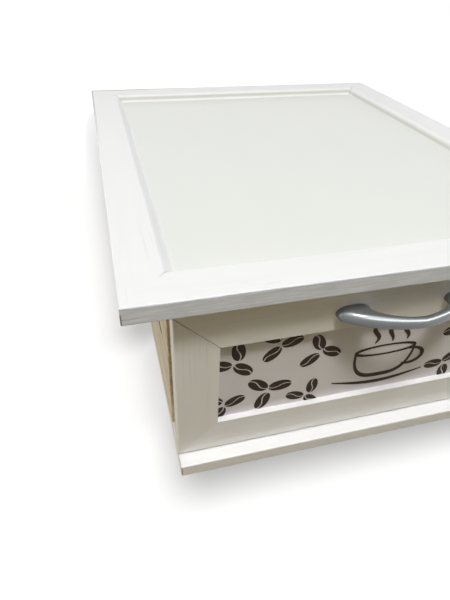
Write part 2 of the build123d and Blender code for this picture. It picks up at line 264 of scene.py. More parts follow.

# %% [markdown]
# ## White-painted wood
#
# The rails are wood under one coat of white satin paint. A picture of painted wood would
# show the same marks on every rail, so the marks are worked out instead. First come the
# masks, each of them 1 where a mark is and 0 elsewhere:
#
# - At the left front corners of the lid and the base the paint is rubbed through. The mask
#   takes the distance to one upright corner line and is broken up by noise, so it can't
#   spread elsewhere.
# - The hollow of the lid's moulding is darker at the back, and less so at the right: this is
#   painted shade. Its mask takes the distance to the line of the hollow.
# - The lid's outer upper edge is darker, and more so towards the back.
# - Each inner mitre of the lid is open at its end and shows as a short dark line.
# - Fine streaks run along the lid's front edge, and its white is cooler than the top's: painted
#   light.

# %% Masks of wear and dust
wear_fade = 1.0 * MM
wear_core = 0.4
right_shade_share = 0.75
back_edge_factor = 2.5
back_edge_end = -100.0 * MM, -30.0 * MM
edge_growth = -20.0 * MM, 150.0 * MM
crease_start = -5.0 * MM, -3.0 * MM
crease_end = 0.0, 4.2 * MM
crease_side = 0.3 * MM, 1.1 * MM
face_layer = 0.4 * MM


def corner_wear(finish, corner_x, corner_y, low, high, width):
    """1 at an upright corner line between two heights, broken up by noise, else 0."""
    x, y, z = finish.axes()
    breaks = finish.noise((300.0, 300.0, 110.0), 2.0).step(0.34, 0.46)
    aside = (x - corner_x).size().most((y - corner_y).size())
    near = 1 - aside.step(width * wear_core, width)
    over = z.step(low - wear_fade, low + wear_fade)
    under = 1 - z.step(high - wear_fade, high + wear_fade)
    return near * over * under * breaks


# Painted shade: this mask darkens the far sides of the moulding's hollow.
def hollow_painted_shade(finish, half_x, half_y, reach):
    """1 on a rectangle's back line, less on its right one, fading to 0 within the reach."""
    x, y, _ = finish.axes()
    inward = (half_x - x.size()).least(half_y - y.size())
    far_sides = (y > half_y - reach).most((x > half_x - reach) * right_shade_share)
    return (1 - inward.size().step(0.0, reach)) * far_sides


def dark_outer_edge(finish, half_x, half_y, top, width):
    """1 on a rectangle's outer upper edges, growing to the back, and round its left corner."""
    x, y, z = finish.axes()
    beside = half_x - x.size() < width
    behind = (half_y - y < width * back_edge_factor) * (1 - x.step(*back_edge_end))
    return beside.most(behind) * (z > top - width) * y.step(*edge_growth)


def mitre_crease(finish, corner_x, corner_y):
    """1 on a short diagonal line at each inner corner of the lid, where the mitre is open."""
    x, y, _ = finish.axes()
    outward = x.size() - corner_x
    aside = (outward - (y.size() - corner_y)).size()
    length = outward.step(*crease_start) * (1 - outward.step(*crease_end))
    return (1 - aside.step(*crease_side)) * length


def front_streaks(finish, front):
    """Two signals: 1 on the front edge of the lid, and the fine streaks that run along it."""
    streaks = finish.noise((70.0, 800.0, 800.0), 3.0, 0.6)
    return finish.axes()[1] < front + face_layer, streaks.step(0.36, 0.66)


print("crease at a mitre, in mm:", round((crease_end[1] - crease_start[0]) / MM, 1))

# %% [markdown]
# ### Paint over grain
#
# The paint fills the grain only in part, so fine grooves run along each piece, and each
# piece has its own direction: front rails along X, side rails along Y, stiles along Z. A
# noise that is squeezed across the grain and stretched along it gives both the fine lines
# and the slower bands. The lines feed the bump and darken the paint a little, as dust does.
# Where the coat is thin, the wood shows through it as warm stains. The upper faces of the
# base and of the frame's bottom rail take a separate, cooler white, which starts just under
# their height: painted light, a lit copy beside fronts whose warmer white stands in part for
# the warm light from below. The marks lie over all that, and bare wood lies over the marks.

# %% Painted wood
bare_edge, wood_stain = (0.20, 0.13, 0.075), (0.80, 0.67, 0.53)
outer_edge_dark_colour = (0.26, 0.25, 0.23)
front_light_white_tint, streak_tint = (0.99, 1.01, 1.06), (0.85, 0.85, 0.85)
shade_and_soil_tint = (0.60, 0.595, 0.54)
crease_share, outer_edge_share = 0.55, 0.75
band_share, patch_share = 0.10, 0.08
grain_depth = 0.12 * MM


def along(axis, fine, coarse):
    """A scale that is fine across the grain and coarse along it."""
    return tuple(coarse if name == axis else fine for name in "XYZ")


def tinted(colour, tint):
    """A colour with each of its parts multiplied by the tint's."""
    return tuple(part * share for part, share in zip(colour, tint))


def marked_lid(finish, colour, white, marks):
    """The lid's paint under its marks: a cooler front (painted light), streaks, open mitres,
    painted shade in the hollow, a darker outer edge.
    """
    hollow, outer_edge, front, crease = marks
    edge, streaks = front_streaks(finish, front)
    # Painted light: the lid's front face takes a cooler copy of its white, with streaks.
    front_light_white = tinted(white, front_light_white_tint)
    colour = finish.mix(edge, colour, finish.mix(streaks, tinted(front_light_white, streak_tint), front_light_white))
    # Painted shade in the hollow and the dark open mitres take this darker white.
    shade_and_soil = tinted(white, shade_and_soil_tint)
    colour = finish.mix(mitre_crease(finish, *crease) * crease_share, colour, shade_and_soil)
    colour = finish.mix(hollow_painted_shade(finish, *hollow), colour, shade_and_soil)
    return finish.mix(dark_outer_edge(finish, *outer_edge) * outer_edge_share, colour, outer_edge_dark_colour)


def painted_wood(name, axis, white, dusty, corner=None, lid=None, grain=0.34, coat=0.0,
                 stain=0.0, top=None):
    """Paint over grain: from white to dusty by pores, bands and patches, then the marks."""
    finish = Finish(name)
    lines = finish.noise(along(axis, 620.0, 16.0), 3.0, 0.6)
    bands = finish.noise(along(axis, 120.0, 7.0), 2.0)
    patches = finish.noise(22.0, 2.0)
    pores = lines.step(0.56, 0.76)
    slow = bands.step(0.45, 0.8) * band_share + patches.step(0.5, 0.9) * patch_share
    colour = finish.mix(pores * grain + slow, white, dusty)
    if stain:
        stains = finish.noise(along(axis, 240.0, 30.0), 3.0).step(0.48, 0.72)
        colour = finish.mix(stains * stain, colour, wood_stain)
    # Painted light: upper faces take their own white, a lit copy beside the warmer fronts.
    if top:
        top_level, top_lit_copy_tone = top
        above = finish.axes()[2] > top_level
        colour = finish.mix(above * (1 - pores * 0.5), colour, top_lit_copy_tone)
    if lid:
        colour = marked_lid(finish, colour, white, lid)
    if corner:
        colour = finish.mix(corner_wear(finish, *corner), colour, bare_edge)
    height = bands * 0.6 + lines * 0.5 - pores
    return finish.surface({
        "Base Color": colour,
        "Roughness": 0.46 + lines * 0.12,
        "Coat Weight": coat,
        "Coat Roughness": 0.25,
        "Specular IOR Level": 0.35,
        "Normal": finish.bump(height, grain_depth),
    })


print("scale of the grain lines along X:", along("X", 620.0, 16.0))

# %% [markdown]
# ### The painted pieces
#
# The photograph shows three whites. The lid is a cool, bright white. The drawer's frame is
# creamier, and the base is the glossiest and the warmest; the warmth of their fronts stands
# in part for the warm light from below, so it is partly painted light. So each gets its own
# pair of paint colours, clean and dusty, and the frame's bottom rail, which is brighter than
# the stiles, gets a fourth: painted light, a brighter copy for the light that the base's
# white top throws onto it. The rails of one piece share a material by the direction of their
# grain, which is fainter on the lid.

# %% Painted pieces
lid_white, lid_dusty = (0.865, 0.868, 0.866), (0.70, 0.70, 0.685)
frame_white, frame_dusty = (0.90, 0.885, 0.84), (0.74, 0.715, 0.655)
# Painted light: the bottom rail's brighter pair stands for light thrown up by the base's top.
foot_lit_copy_white, foot_lit_copy_dusty = (0.935, 0.93, 0.90), (0.79, 0.77, 0.72)
base_white, base_dusty = (0.935, 0.925, 0.885), (0.74, 0.715, 0.65)
top_lit_copy_white = (0.85, 0.843, 0.85)
rail_low, rail_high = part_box("lid_rail_front")
base_low, base_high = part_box("base_board")
lid_front, lid_back, lid_high = rail_low.y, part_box("lid_rail_back")[1].y, rail_high.z
opening_x, opening_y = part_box("lid_rail_right")[0].x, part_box("lid_rail_back")[0].y
lid_wear_height, lid_wear_width = 5.5 * MM, 0.7 * MM
base_wear_gap, base_wear_width = 1.0 * MM, 0.9 * MM
lid_corner = (rail_low.x, lid_front, rail_low.z, rail_low.z + lid_wear_height, lid_wear_width)
base_corner = (base_low.x, base_low.y, base_low.z, base_high.z - base_wear_gap,
               base_wear_width)
hollow_right, hollow_back, hollow_reach = 2.9 * MM, 2.0 * MM, 2.2 * MM
edge_width = 1.1 * MM
lid_marks = ((opening_x - hollow_right, opening_y - hollow_back, hollow_reach),
             (rail_high.x, lid_back, lid_high, edge_width), lid_front, (opening_x, opening_y))

lid_along_x, lid_along_y = (
    painted_wood("lid_along_" + axis.lower(), axis, lid_white, lid_dusty, lid_corner,
                 lid_marks, grain=0.22) for axis in "XY")
frame_along_x = painted_wood("frame_along_x", "X", frame_white, frame_dusty, stain=0.14)
frame_foot_lit_copy = painted_wood("frame_foot_lit_copy", "X", foot_lit_copy_white, foot_lit_copy_dusty, stain=0.15,
                          top=(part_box("front_frame_bottom")[1].z - face_layer, top_lit_copy_white))
frame_along_z = painted_wood("frame_along_z", "Z", frame_white, frame_dusty, stain=0.08)
base_paint = painted_wood("base_paint", "X", base_white, base_dusty, base_corner, grain=0.4,
                          coat=0.35, stain=0.3, top=(base_high.z - face_layer, top_lit_copy_white))
dress(lid_along_x, "lid_rail_front", "lid_rail_back")
dress(lid_along_y, "lid_rail_left", "lid_rail_right", "top_board")
dress(frame_along_x, "front_frame_top")
dress(frame_foot_lit_copy, "front_frame_bottom")
dress(frame_along_z, "front_frame_left", "front_frame_right")
dress(base_paint, "base_board")

# %% [markdown]
# ## Washed and bare wood
#
# The sides are paler in paint but warmer in tone: a thin wash lets the wood show. The
# drawer box inside is bare. Both use the same recipe with other colours: growth rings are
# bands of a noise stretched along the board, finer streaks of the same kind lie between
# them, and short dark pores lie on top. The rings of the sides are about 12 mm apart, so
# their noise is a coarser one. The open joint between the two boards of each side is
# darker, and its mask is a box round that joint.

# %% Washed and bare wood
groove_dark, groove_dark_share = (0.10, 0.085, 0.05), 0.85
ring_share, streak_share, tone_share = 0.5, 0.35, 0.15
pore_depth = 0.1 * MM


def grained_wood(name, axis, light, dark, pore, pore_share, ring_scale, groove=None):
    """Boards with rings and pores along one axis, and a darker open joint if there is one."""
    finish = Finish(name)
    rings = finish.noise(along(axis, ring_scale, ring_scale / 20), 3.0)
    streaks = finish.noise(along(axis, ring_scale * 5, ring_scale / 8), 3.0)
    fibres = finish.noise(along(axis, 1500.0, 40.0), 2.0)
    tone = finish.noise(12.0, 2.0)
    share = (rings.step(0.38, 0.62) * ring_share + streaks.step(0.36, 0.64) * streak_share
             + tone.step(0.35, 0.7) * tone_share)
    colour = finish.mix(share, light, dark)
    pores = fibres.step(0.58, 0.74)
    colour = finish.mix(pores * pore_share, colour, pore)
    if groove:
        groove_x, groove_y, groove_low, groove_high = groove
        x, y, z = finish.axes()
        inside = (x.size() < groove_x) * (y > groove_y) * (z > groove_low) * (z < groove_high)
        colour = finish.mix(inside * groove_dark_share, colour, groove_dark)
    height = rings * 0.5 - pores
    return finish.surface({
        "Base Color": colour,
        "Roughness": 0.5 + fibres * 0.15,
        "Normal": finish.bump(height, pore_depth),
    })


washed_tones = (0.93, 0.855, 0.68), (0.58, 0.47, 0.315), (0.42, 0.33, 0.20), 0.35, 85.0
bare_tones = (0.72, 0.59, 0.42), (0.60, 0.455, 0.295), (0.34, 0.235, 0.14), 0.45, 130.0
side_low, side_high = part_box("side_right_lower")
joint_inset, joint_start, joint_half = 0.3 * MM, 17.0 * MM, 2.3 * MM
side_joint = (side_high.x - joint_inset, side_low.y + joint_start,
              side_high.z - joint_half, side_high.z + joint_half)
washed_y = grained_wood("washed_along_y", "Y", *washed_tones, side_joint)
washed_x = grained_wood("washed_along_x", "X", *washed_tones)
bare_y = grained_wood("bare_along_y", "Y", *bare_tones)
bare_x = grained_wood("bare_along_x", "X", *bare_tones)
dress(washed_y, "side_left_lower", "side_left_upper", "side_right_lower", "side_right_upper")
dress(washed_x, "back_board")
dress(bare_y, "drawer_side_left", "drawer_side_right", "drawer_divider_1", "drawer_divider_2",
      "drawer_bottom")
dress(bare_x, "drawer_box_front", "drawer_box_back")

# %% [markdown]
# ## Glass
#
# The top is a sheet of glass painted white behind. Modelling the paint under real glass
# would only add noise to the picture, so the sheet is a smooth pale green-white surface
# with the sharp reflection of glass.

# %% Glass
clear_glass, smeared_glass = (0.795, 0.81, 0.765), (0.78, 0.795, 0.75)


def white_glass():
    """Glass painted white behind, with faint smears in its gloss."""
    finish = Finish("white_glass")
    smears = finish.noise((18.0, 9.0, 18.0), 3.0, 0.6)
    colour = finish.mix(smears.step(0.3, 0.8), clear_glass, smeared_glass)
    return finish.surface({
        "Base Color": colour,
        "Roughness": 0.10 + smears * 0.10,
        "IOR": 1.5,
    })


dress(white_glass(), "lid_glass")

# %% [markdown]
# ## Metal
#
# The handle is die-cast and sprayed with silver lacquer: metal flakes in a clear binder. It
# shades almost like grey paint, and only its clear top layer shows a thin, sharp line of
# light. So the base is partly metallic and rough, and a coat with a low roughness lies on
# it. The underside has less of both and a darker colour: painted shade, which keeps the white
# floor's reflection there down.
# The base colours are a dark grey, because the mirrored white surroundings add to them, and
# only the sum is the silver of the photograph. Screws and pins are plain zinc-plated steel.

# %% Metal
lacquer_dark, lacquer_light = (0.11, 0.123, 0.127), (0.16, 0.173, 0.178)
lacquer_painted_shade = (0.08, 0.088, 0.09)
zinc_bright, zinc_scuffed = (0.62, 0.61, 0.57), (0.50, 0.49, 0.46)
flake_depth = 0.01 * MM


def silver_lacquer():
    """Die-cast metal under satin silver lacquer, with painted shade and less coat where it looks
    down.
    """
    finish = Finish("silver_lacquer")
    flakes = finish.noise(9000.0, 1.0)
    clouds = finish.noise(120.0, 2.0)
    facing = finish.node("ShaderNodeTexCoord", output="Normal")
    # Painted shade: 1 where the surface looks up, 0 on the underside, which gets the darker
    # colour and less coat.
    upper_side_unshaded = finish.parts(facing)[2].step(-0.8, 0.5)
    speckle = finish.mix(flakes.step(0.3, 0.7), lacquer_dark, lacquer_light)
    colour = finish.mix(upper_side_unshaded, lacquer_painted_shade, speckle)
    return finish.surface({
        "Base Color": colour,
        "Metallic": 0.45,
        "Roughness": 0.38 + clouds * 0.06,
        "Coat Weight": 0.15 + upper_side_unshaded * 0.85,
        "Coat Roughness": 0.10,
        "Normal": finish.bump(flakes, flake_depth),
    })


def zinc_plate():
    """Bright plated steel for screws and pins."""
    finish = Finish("zinc_plate")
    scuffs = finish.noise(900.0, 3.0)
    colour = finish.mix(scuffs.step(0.35, 0.7), zinc_bright, zinc_scuffed)
    return finish.surface({
        "Base Color": colour,
        "Metallic": 1.0,
        "Roughness": 0.25 + scuffs * 0.2,
    })


silver = silver_lacquer()
dress(silver, "handle")
dress(zinc_plate(), "lid_screws", "top_board_screws", "base_screws", "back_board_pins",
      "front_frame_screws", "drawer_box_pins", "handle_screws")

# %% [markdown]
# ## Paper and ink
#
# The panel in the drawer front is a printed sheet on thin board: smooth, matt and a little
# rosy. Its brown ink is a material of its own, because the motifs are thin layers of ink
# that lie on the paper. A noise fine enough to look like a coarse printing screen lets some
# paper through the ink.

# %% Paper and ink
paper_clean, paper_rosy = (0.81, 0.78, 0.785), (0.77, 0.735, 0.745)
ink_full, ink_broken = (0.036, 0.021, 0.013), (0.078, 0.052, 0.037)
fibre_depth = 0.01 * MM


def print_paper():
    """Smooth pale paper with a faint rose cast."""
    finish = Finish("print_paper")
    fibres = finish.noise(2500.0, 2.0)
    clouds = finish.noise(25.0, 2.0)
    share = clouds.step(0.3, 0.7) * 0.6 + fibres * 0.2
    colour = finish.mix(share, paper_clean, paper_rosy)
    return finish.surface({
        "Base Color": colour,
        "Roughness": 0.55,
        "Specular IOR Level": 0.3,
        "Normal": finish.bump(fibres, fibre_depth),
    })


def brown_ink():
    """Dark brown print with the specks of a coarse screen."""
    finish = Finish("brown_ink")
    specks = finish.noise(3200.0, 2.0, 0.7)
    clouds = finish.noise(90.0, 2.0)
    share = specks.step(0.45, 0.75) * 0.6 + clouds.step(0.4, 0.7) * 0.3
    colour = finish.mix(share, ink_full, ink_broken)
    return finish.surface({
        "Base Color": colour,
        "Roughness": 0.6 + specks * 0.1,
        "Specular IOR Level": 0.1,
    })


dress(print_paper(), "print_panel")
ink = brown_ink()

# %% [markdown]
# ## Meshes from arrays
#
# Every new shape below is a grid of points: a function of two numbers, worked out for all
# rows and columns at once. One helper turns such a grid into a mesh. It can close the grid
# round its columns, as for a bar, and cap its ends.

# %% A grid becomes a mesh
weld_distance = 1e-7


def grid_faces(rows, columns, closed):
    """Quads between neighbouring rows and columns of a grid, numbered row by row."""
    wide = columns if closed else columns - 1
    row, column = np.meshgrid(np.arange(rows - 1), np.arange(wide), indexing="ij")
    after = (column + 1) % columns
    corners = np.stack([row * columns + column, row * columns + after,
                        (row + 1) * columns + after, (row + 1) * columns + column], axis=-1)
    return corners.reshape(-1, 4)


def make_piece(name, points, faces, material, body, smooth=True):
    """A mesh object that rides on a CAD body and takes the given material."""
    mesh = bpy.data.meshes.new(name)
    mesh.from_pydata(points.tolist(), [], [list(face) for face in faces])
    sheet = bmesh.new()
    sheet.from_mesh(mesh)
    bmesh.ops.remove_doubles(sheet, verts=sheet.verts, dist=weld_distance)
    bmesh.ops.dissolve_degenerate(sheet, edges=sheet.edges, dist=weld_distance)
    bmesh.ops.recalc_face_normals(sheet, faces=sheet.faces)
    sheet.to_mesh(mesh)
    sheet.free()
    mesh.materials.append(material)
    mesh.polygons.foreach_set("use_smooth", np.full(len(mesh.polygons), smooth))
    piece = bpy.data.objects.new(name, mesh)
    bpy.context.scene.collection.objects.link(piece)
    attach(piece, body)
    print(name, "faces", len(mesh.polygons))
    return piece


print("grid of 3 by 4 closed round:", grid_faces(3, 4, True).shape[0], "faces")

# %% [markdown]
# ## The moulding round the glass
#
# The inner edge of each rail runs down to the glass in an S: rounded at the top, hollow at
# the foot. The solids have a plain round there, and this finer skin covers it. A modelled
# frame would sweep a profile along four rails and cut the mitres. Here the profile is drawn
# in from the opening's rectangle at each point, which gives the mitres by itself.

# %% Moulding
moulding_start, moulding_run = -0.6 * MM, 5.1 * MM
skin_start, skin_depth = -3.0 * MM, 0.2 * MM
moulding_steps = 15
slope_share = 0.4
glass_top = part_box("lid_glass")[1].z


def lid_moulding():
    """Height over the glass: 1 - s, mixed with the smooth step 1 - (3 s^2 - 2 s^3)."""
    share = np.linspace(0, 1, moulding_steps)
    curve = share ** 2 * (3 - 2 * share)
    fall = 1 - slope_share * share - (1 - slope_share) * curve
    run = moulding_start + moulding_run * share
    inward = np.concatenate([[skin_start], run, [run[-1], -skin_depth, skin_start]])
    level = glass_top + np.concatenate([
        [lid_high - glass_top], (lid_high - glass_top) * fall,
        [-skin_depth, -skin_depth, lid_high - glass_top - skin_depth]])
    signs = np.array([(-1, -1), (1, -1), (1, 1), (-1, 1), (-1, -1)])
    x = signs[:, :1] * (opening_x - inward[None, :])
    y = signs[:, 1:] * (opening_y - inward[None, :])
    points = np.stack([x, y, np.broadcast_to(level, x.shape)], axis=-1)
    return points.reshape(-1, 3), grid_faces(len(signs), len(inward), True)


def grain_by_side(piece, second):
    """Gives the faces of the front and back sides a second material."""
    mesh = piece.data
    mesh.materials.append(second)
    centres = np.empty(len(mesh.polygons) * 3)
    mesh.polygons.foreach_get("center", centres)
    across, back = np.abs(centres.reshape(-1, 3)[:, :2]).T
    lengthwise = back - opening_y > across - opening_x
    mesh.polygons.foreach_set("material_index", lengthwise.astype(int))
    mesh.update()


moulding_points, moulding_faces = lid_moulding()
moulding = make_piece("lid_moulding", moulding_points, moulding_faces, lid_along_y, "case",
                      smooth=False)
grain_by_side(moulding, lid_along_x)

# %% [markdown]
# ## The bow handle
#
# The handle is one casting: a bar that swells into two wide feet. Seen from above, its
# outer and inner lines are both flattened bows. For each angle from foot to foot, the
# section joins the outer point to the inner one, and its outline is a superellipse, which
# is rounder than a rectangle and fuller than an ellipse. Below the bow's ends a short
# straight skirt meets the drawer front.

# %% Handle
handle_low, handle_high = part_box("handle")
handle_middle_z = (handle_low.z + handle_high.z) / 2
handle_face_y = handle_high.y
handle_half_length = handle_high.x
handle_half_span = 20.0 * MM
handle_reach = handle_high.y - handle_low.y
bar_thickness = 4.8 * MM
bar_height = 5.6 * MM
foot_height = handle_high.z - handle_low.z
foot_rise = 2.5 * MM
outer_power, inner_power, bulge_power = 1.5, 2.1, 1.45
section_power, foot_power = 2.3, 1.5
bow_rows, section_columns = 97, 48


def bow_handle():
    """Sections from the left foot over the bow to the right foot.

    Both lines of the plan: x is a power of the cosine and y a power of the sine of one
    angle. A section is a superellipse, cosine and sine raised to 2 / section_power, between
    the two lines, and its height grows from the bar to the feet with a power of the
    cosine."""
    angle = np.linspace(0, np.pi, bow_rows)
    lean = -np.cos(angle)
    reach = np.abs(lean)
    bulge = np.abs(np.sin(angle)) ** bulge_power
    outer_x = np.sign(lean) * handle_half_length * reach ** (2 / outer_power)
    inner_x = np.sign(lean) * handle_half_span * reach ** (2 / inner_power)
    outer_y = foot_rise + (handle_reach - foot_rise) * bulge
    inner_y = foot_rise * (1 - bulge) + (handle_reach - bar_thickness) * bulge
    outer = np.stack([outer_x, outer_y], axis=-1)
    inner = np.stack([inner_x, inner_y], axis=-1)
    skirt_outer = outer[[0, -1]] * [1, 0]
    skirt_inner = inner[[0, -1]] * [1, 0]
    outer = np.concatenate([skirt_outer[:1], outer, skirt_outer[1:]])
    inner = np.concatenate([skirt_inner[:1], inner, skirt_inner[1:]])
    lift = np.concatenate([reach[:1], reach, reach[-1:]])
    height = bar_height + (foot_height - bar_height) * lift ** foot_power
    turn = np.linspace(0, 2 * np.pi, section_columns, endpoint=False)
    across = np.sign(np.cos(turn)) * np.abs(np.cos(turn)) ** (2 / section_power)
    upward = np.sign(np.sin(turn)) * np.abs(np.sin(turn)) ** (2 / section_power)
    middle = (outer + inner) / 2
    half = (outer - inner) / 2
    plan = middle[:, None, :] + half[:, None, :] * across[None, :, None]
    level = height[:, None] / 2 * upward[None, :]
    points = np.stack([plan[..., 0], handle_face_y - plan[..., 1], handle_middle_z + level], -1)
    rows = len(outer)
    faces = grid_faces(rows, section_columns, True).tolist()
    faces.append(list(range(section_columns))[::-1])
    faces.append([(rows - 1) * section_columns + index for index in range(section_columns)])
    return points.reshape(-1, 3), faces


handle_points, handle_faces = bow_handle()
handle_piece = make_piece("handle_bow", handle_points, handle_faces, silver, "drawer")
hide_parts("handle")

# %% [markdown]
# ## The print on the drawer front
#
# The print shows coffee beans in threes round a cup. Each shape is a thin layer of ink on
# the panel: a patch between two lines, raised by a tenth of a millimetre, with its edge
# closed. A bean is two such patches, with a pale S-shaped crease left open between them.
# Where a bean reaches past the frame's opening it is cut there, as a printed sheet is.

# %% Ink patches
panel_face_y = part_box("print_panel")[0].y
ink_thickness = 0.1 * MM
ink_sink = 0.02 * MM
opening_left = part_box("front_frame_left")[1].x
opening_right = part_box("front_frame_right")[0].x
opening_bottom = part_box("front_frame_bottom")[1].z
opening_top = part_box("front_frame_top")[0].z
opening_middle = Vector(((opening_left + opening_right) / 2, 0,
                         (opening_bottom + opening_top) / 2))
patch_rows, patch_columns = 17, 7


def between(first, second):
    """A grid of points across the strip between two lines of equally many points."""
    share = np.linspace(0, 1, patch_columns)[None, :, None]
    return first[:, None, :] * (1 - share) + second[:, None, :] * share


def turned(points, angle, scale, place):
    """Points in the panel's plane, turned, scaled and moved."""
    cosine, sine = math.cos(angle), math.sin(angle)
    spin = np.array([[cosine, sine], [-sine, cosine]])
    return points @ spin * scale + np.array(place)


def ink_layer(patches, rise=0.0):
    """Closed thin layers over the panel, one for each grid of x and z places.

    Each layer is thicker than the one before by rise, so that crossing strokes don't share
    a surface."""
    all_points, all_faces, start = [], [], 0
    for index, patch in enumerate(patches):
        rows, columns = patch.shape[:2]
        flat = patch.reshape(-1, 2)
        x = np.clip(flat[:, 0], opening_left, opening_right)
        z = np.clip(flat[:, 1], opening_bottom, opening_top)
        face_y = panel_face_y - ink_thickness - rise * index
        front = np.stack([x, np.full_like(x, face_y), z], axis=-1)
        back = np.stack([x, np.full_like(x, panel_face_y + ink_sink), z], axis=-1)
        count = rows * columns
        skin = grid_faces(rows, columns, False)
        rim = np.concatenate([
            np.arange(columns),
            np.arange(1, rows) * columns + columns - 1,
            (rows - 1) * columns + np.arange(columns - 2, -1, -1),
            np.arange(rows - 2, 0, -1) * columns])
        after = np.roll(rim, -1)
        wall = np.stack([rim, after, after + count, rim + count], axis=-1)
        faces = np.concatenate([skin, skin[:, ::-1] + count, wall[:, ::-1]])
        all_points += [front, back]
        all_faces.append(faces + start)
        start += 2 * count
    return np.concatenate(all_points), np.concatenate(all_faces)


print("opening of the frame, in mm:", round((opening_right - opening_left) / MM, 1), "by",
      round((opening_top - opening_bottom) / MM, 1))

# %% [markdown]
# ### Beans
#
# A bean's outline is an ellipse that is a little fuller on one side. The crease follows
# one period of a sine along the bean, which is zero at the tips, and takes a constant width
# out of the middle. Three beans make a cluster. Each entry of the table below places one: x
# and z from the panel's middle in mm, its turn in degrees, its size and its twist.

# %% Beans
bean_length, bean_width = 11.6 * MM, 7.0 * MM
crease_width = 0.65 * MM
crease_swing = 0.9 * MM
arch_power = 0.9
half_fullness = (1, 1.0), (-1, 0.94)


def bean_halves(swing):
    """The two patches of one bean, lying along X round the origin.

    Each lies between the crease, a sine of x moved aside by half the crease's width, and
    the outline, a half ellipse times that side's fullness."""
    angle = np.linspace(0, np.pi, patch_rows)
    x = -np.cos(angle) * bean_length / 2
    arch = np.sin(angle) ** arch_power * bean_width / 2
    middle = swing * np.sin(2 * np.pi * x / bean_length)
    gap = np.full_like(x, crease_width / 2)
    halves = []
    for side, fullness in half_fullness:
        edge = side * np.maximum(arch * fullness, side * middle + gap)
        inner = np.stack([x, middle + side * gap], axis=-1)
        outer = np.stack([x, edge], axis=-1)
        halves.append(between(inner, outer))
    return halves


cluster_reach = 7.0 * MM
fan = (0.0, 1.95, 4.1)
slants = (1.0, -0.7, 0.5)
swings = (1.0, -1.0, 1.0)


def cluster(place, angle, scale, twist):
    """Three beans round a point, each pointing away from it at its own slant."""
    patches = []
    for spread, slant, swing in zip(fan, slants, swings):
        heading = angle + spread
        offset = cluster_reach * scale
        centre = (place[0] + offset * math.cos(heading), place[1] + offset * math.sin(heading))
        patches += [turned(half, heading + twist * slant, scale, centre)
                    for half in bean_halves(crease_swing * swing)]
    return patches


cluster_places = (
    (-81.5, 11.5, 75, 1.0, 0.35), (-63.5, -12.5, 20, 1.05, -0.3), (-60.0, 19.0, 130, 0.95, 0.4),
    (-86.5, -17.5, 140, 0.95, 0.3), (-41.0, -20.5, 65, 0.9, 0.35), (-38.0, 9.5, 350, 0.95, -0.35),
    (40.5, -16.5, 55, 0.95, -0.35), (44.0, 13.0, 100, 1.0, 0.4), (61.5, -11.5, 5, 1.0, 0.3),
    (68.0, 20.5, 45, 0.95, -0.3), (85.5, 3.0, 95, 1.0, 0.4), (80.5, -23.0, 25, 0.9, 0.3),
)
bean_patches = []
for x, z, angle, scale, twist in cluster_places:
    spot = (opening_middle.x + x * MM, opening_middle.z + z * MM)
    bean_patches += cluster(spot, math.radians(angle), scale, twist)
bean_points, bean_faces = ink_layer(bean_patches)
make_piece("print_beans", bean_points, bean_faces, ink, "drawer", smooth=False)

# %% [markdown]
# ### The cup
#
# The cup is drawn with a broad pen: its rim, bowl, ear, saucer and three wisps of steam are
# strokes along a curve, and each stroke swells and thins as a pen's does. A stroke is the
# strip between the curve moved to its left and to its right by half the width. All its
# numbers are millimetres from the middle of the opening.

# %% Cup
stroke_steps = 65
stroke_rise = 0.01 * MM
cup_half, rim_level, rim_half = 17.0, 3.2, 3.1
bowl_top, bowl_depth, bowl_corner = 2.4, 17.5, 0.62
ear_place, ear_half = (16.0, -4.6), (7.6, 5.6)
ear_start, ear_turn = 100, 218
saucer_half, saucer_level, saucer_sag = 27.0, -16.2, 4.2
steam_foot, steam_swing = 8.6, 2.2
wisps = ((-8.0, 14.0, 0.2), (1.0, 17.0, 1.6), (9.5, 13.5, 0.9))


def stroke(x, z, width):
    """A patch of changing width along a curve, all in millimetres."""
    path = np.stack([x, z], axis=-1) * MM
    slope = np.gradient(path, axis=0)
    normal = np.stack([-slope[:, 1], slope[:, 0]], axis=-1)
    normal /= np.linalg.norm(normal, axis=1, keepdims=True)
    half = (np.zeros(len(path)) + width)[:, None] * MM / 2
    return between(path - normal * half, path + normal * half)


def cup_strokes():
    """Rim: an ellipse. Bowl: a squared half ellipse. Ear: an arc. Saucer: a shallow bow.
    Steam: waves that widen as they rise. The last value of each stroke is its width."""
    share = np.linspace(0, 1, stroke_steps)
    hump = np.sin(np.pi * share)
    turn = 2 * np.pi * share
    rim = stroke(cup_half * np.cos(turn), rim_level + rim_half * np.sin(turn),
                 1.15 + 0.75 * np.cos(turn) ** 2)
    lean = np.cos(np.pi * (1 + share))
    bowl = stroke(cup_half * np.sign(lean) * np.abs(lean) ** bowl_corner,
                  bowl_top - bowl_depth * hump ** 0.9, 1.3 + 1.5 * hump ** 2)
    bend = np.radians(ear_start - ear_turn * share)
    ear = stroke(ear_place[0] + ear_half[0] * np.cos(bend),
                 ear_place[1] + ear_half[1] * np.sin(bend), 1.2 + 1.2 * hump)
    across = 2 * share - 1
    sag = np.cos(across * np.pi / 2)
    saucer = stroke(saucer_half * across, saucer_level - saucer_sag * sag, 0.7 + 1.6 * sag)
    strokes = [rim, bowl, ear, saucer]
    for start, height, phase in wisps:
        wave = steam_swing * np.sin(turn + phase) * (0.6 + 0.5 * share)
        strokes.append(stroke(start + wave, steam_foot + height * share,
                              0.5 + 1.9 * hump ** 0.8))
    return strokes


cup_centre = np.array([opening_middle.x, opening_middle.z])
cup_points, cup_faces = ink_layer([patch + cup_centre for patch in cup_strokes()],
                                  stroke_rise)
make_piece("print_cup", cup_points, cup_faces, ink, "drawer", smooth=False)

